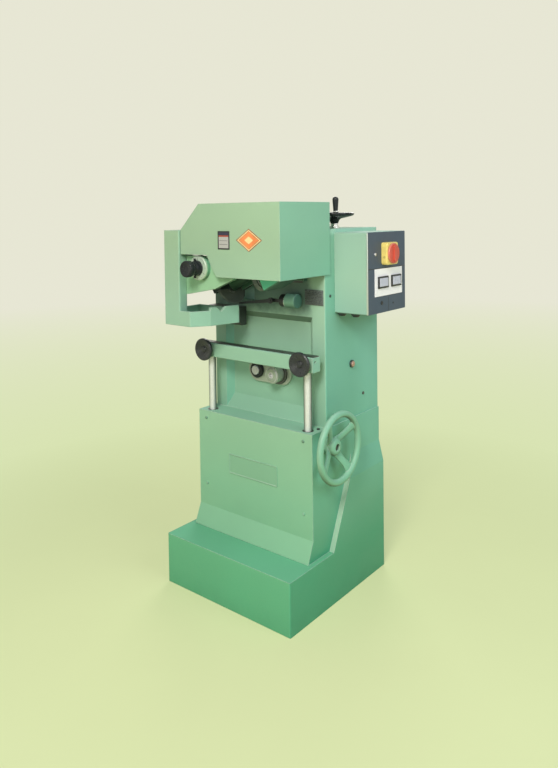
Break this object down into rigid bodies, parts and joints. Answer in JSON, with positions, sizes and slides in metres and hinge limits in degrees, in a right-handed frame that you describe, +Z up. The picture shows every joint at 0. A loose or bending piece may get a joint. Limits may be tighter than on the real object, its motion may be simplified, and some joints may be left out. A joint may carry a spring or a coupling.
{
  "type": "saw blade sharpener",
  "caption": "Floor-standing grinder for the teeth of wide band-saw blades, with a hooded tilting-axis grinding head, a height-set blade support bar and an electric box.",
  "frame": {"origin": "centre of the plinth's underside, on the floor", "axes": "+X to the operator's right along the blade, +Y away from the operator, +Z up"},
  "size_m": [0.7522, 0.6817, 1.481],
  "materials": {
    "green_enamel": "green enamel",
    "light_green_enamel": "green enamel",
    "dark_green_enamel": "dark green enamel",
    "dark_enamel": "dark enamel",
    "panel_enamel": "dark blue-grey enamel",
    "steel": "ground",
    "dark_steel": "blackened",
    "chrome": "polished",
    "bronze": "turned",
    "black_bakelite": "glossy",
    "black_plastic": "matte",
    "yellow_plastic": "glossy",
    "red_plastic": "glossy",
    "white_plastic": "satin",
    "button_plastic": "glossy",
    "abrasive": "coarse grit",
    "rubber": "ribbed"
  },
  "bodies": {
    "frame": {"machine_frame": "green_enamel", "front_cover": "green_enamel", "rear_cover": "green_enamel", "cover_screws": "dark_steel", "rod_bushes": "bronze", "shaft_bearings": "green_enamel", "drive_flange": "green_enamel", "sleeve_ring": "dark_steel", "rear_jaw": "dark_steel", "c_arm": "green_enamel", "front_jaw": "steel", "dial_bracket": "light_green_enamel", "hood": "green_enamel", "head_guide": "steel", "electric_box": "green_enamel", "control_panel": "panel_enamel", "switch_base": "yellow_plastic", "button_plate": "white_plastic", "button_frames": "black_plastic", "cable_glands": "black_plastic", "column_pad": "rubber", "feed_cylinder": "dark_green_enamel", "crank_bearing": "steel", "frame_plugs": "steel", "gear_motor": "green_enamel"},
    "blade_support": {"support_bar": "green_enamel", "rest_strip": "dark_steel", "left_guide_rod": "steel", "right_guide_rod": "steel"},
    "left_knob": {"left_clamp_knob": "black_bakelite"},
    "right_knob": {"right_clamp_knob": "black_bakelite"},
    "lift_wheel": {"handwheel": "green_enamel", "cross_shaft": "steel", "rack_pinions": "steel"},
    "grinding_head": {"head_carriage": "dark_green_enamel", "spindle_housing": "dark_green_enamel", "grinding_motor": "light_green_enamel", "wheel_guard": "dark_enamel", "drive_belt": "rubber"},
    "crank": {"crank_wheel": "black_bakelite", "lead_screw": "steel"},
    "crank_grip": {"crank_handle": "black_bakelite"},
    "wheel_spindle": {"spindle": "steel", "grinding_wheel": "abrasive", "wheel_flanges": "steel", "spindle_pulley": "steel"},
    "motor_rotor": {"motor_pulley": "steel"},
    "dial": {"dial_disc": "chrome", "dial_knob": "black_bakelite", "dial_spindle": "steel"},
    "feed_slide": {"feed_plunger": "dark_steel"},
    "pawl": {"feed_pawl": "dark_steel"},
    "main_switch": {"switch_knob": "red_plastic"},
    "start": {"start_button": "button_plastic"},
    "stop": {"stop_button": "button_plastic"},
    "cycle_shaft": {"camshaft": "chrome", "drive_cams": "steel"},
    "pitch_adjuster": {"pitch_ring": "black_bakelite", "pitch_spindle": "chrome"}
  },
  "joints": [
    {"name": "handwheel_turn", "type": "hinge", "parent": "frame", "child": "lift_wheel", "pos_m": [0, -0.061, 0.5845], "axis": [-1, 0, 0], "range_deg": [-200, 85]},
    {"name": "bar_lift", "type": "slide", "parent": "frame", "child": "blade_support", "axis": [0, 0, 1], "range_m": [-0.14, 0.06]},
    {"name": "left_knob_turn", "type": "hinge", "parent": "blade_support", "child": "left_knob", "pos_m": [-0.237, -0.137, 0.888], "axis": [0, -1, 0], "range_deg": [0, 360]},
    {"name": "right_knob_turn", "type": "hinge", "parent": "blade_support", "child": "right_knob", "pos_m": [0.237, -0.137, 0.888], "axis": [0, -1, 0], "range_deg": [0, 360]},
    {"name": "crank_turn", "type": "hinge", "parent": "frame", "child": "crank", "pos_m": [0.232, 0.075, 1.4], "axis": [0, 0, -1], "range_deg": [-455, 4055]},
    {"name": "head_lift", "type": "slide", "parent": "frame", "child": "grinding_head", "axis": [0, 0, 1], "range_m": [-0.01, 0.09]},
    {"name": "crank_grip_turn", "type": "hinge", "parent": "crank", "child": "crank_grip", "pos_m": [0.27076, 0.02661, 1.45], "axis": [0, 0, 1], "continuous": true},
    {"name": "spindle_turn", "type": "hinge", "parent": "grinding_head", "child": "wheel_spindle", "pos_m": [-0.134, -0.112, 1.14183], "axis": [0.891, 0, 0.454], "continuous": true},
    {"name": "motor_turn", "type": "hinge", "parent": "grinding_head", "child": "motor_rotor", "pos_m": [-0.10086, -0.2, 1.07678], "axis": [0.891, 0, 0.454], "continuous": true},
    {"name": "dial_turn", "type": "hinge", "parent": "frame", "child": "dial", "pos_m": [-0.115, -0.3, 1.225], "axis": [0, -1, 0], "range_deg": [-160, 160]},
    {"name": "feed_stroke", "type": "slide", "parent": "frame", "child": "feed_slide", "axis": [1, 0, 0], "range_m": [0, 0.026]},
    {"name": "pawl_lift", "type": "hinge", "parent": "feed_slide", "child": "pawl", "pos_m": [0.07, -0.112, 1.098], "axis": [0, 1, 0], "range_deg": [0, 7]},
    {"name": "main_switch_turn", "type": "hinge", "parent": "frame", "child": "main_switch", "pos_m": [0.439, 0.149, 1.27], "axis": [1, 0, 0], "range_deg": [-90, 0]},
    {"name": "start_press", "type": "slide", "parent": "frame", "child": "start", "axis": [-1, 0, 0], "range_m": [0, 0.004], "stiffness_N_per_m": 800},
    {"name": "stop_press", "type": "slide", "parent": "frame", "child": "stop", "axis": [-1, 0, 0], "range_m": [0, 0.004], "stiffness_N_per_m": 800},
    {"name": "cycle_turn", "type": "hinge", "parent": "frame", "child": "cycle_shaft", "pos_m": [0.047, 0, 0.81], "axis": [0, -1, 0], "continuous": true},
    {"name": "pitch_turn", "type": "hinge", "parent": "frame", "child": "pitch_adjuster", "pos_m": [-0.058, -0.05, 0.81], "axis": [0, -1, 0], "range_deg": [-150, 150]}
  ],
  "couplings": [
    {"joint": "bar_lift", "follows": "handwheel_turn", "m_per_rad": 0.04},
    {"joint": "crank_turn", "follows": "head_lift", "rad_per_m": 785.4},
    {"joint": "motor_turn", "follows": "spindle_turn", "ratio": 1.1333}
  ]
}
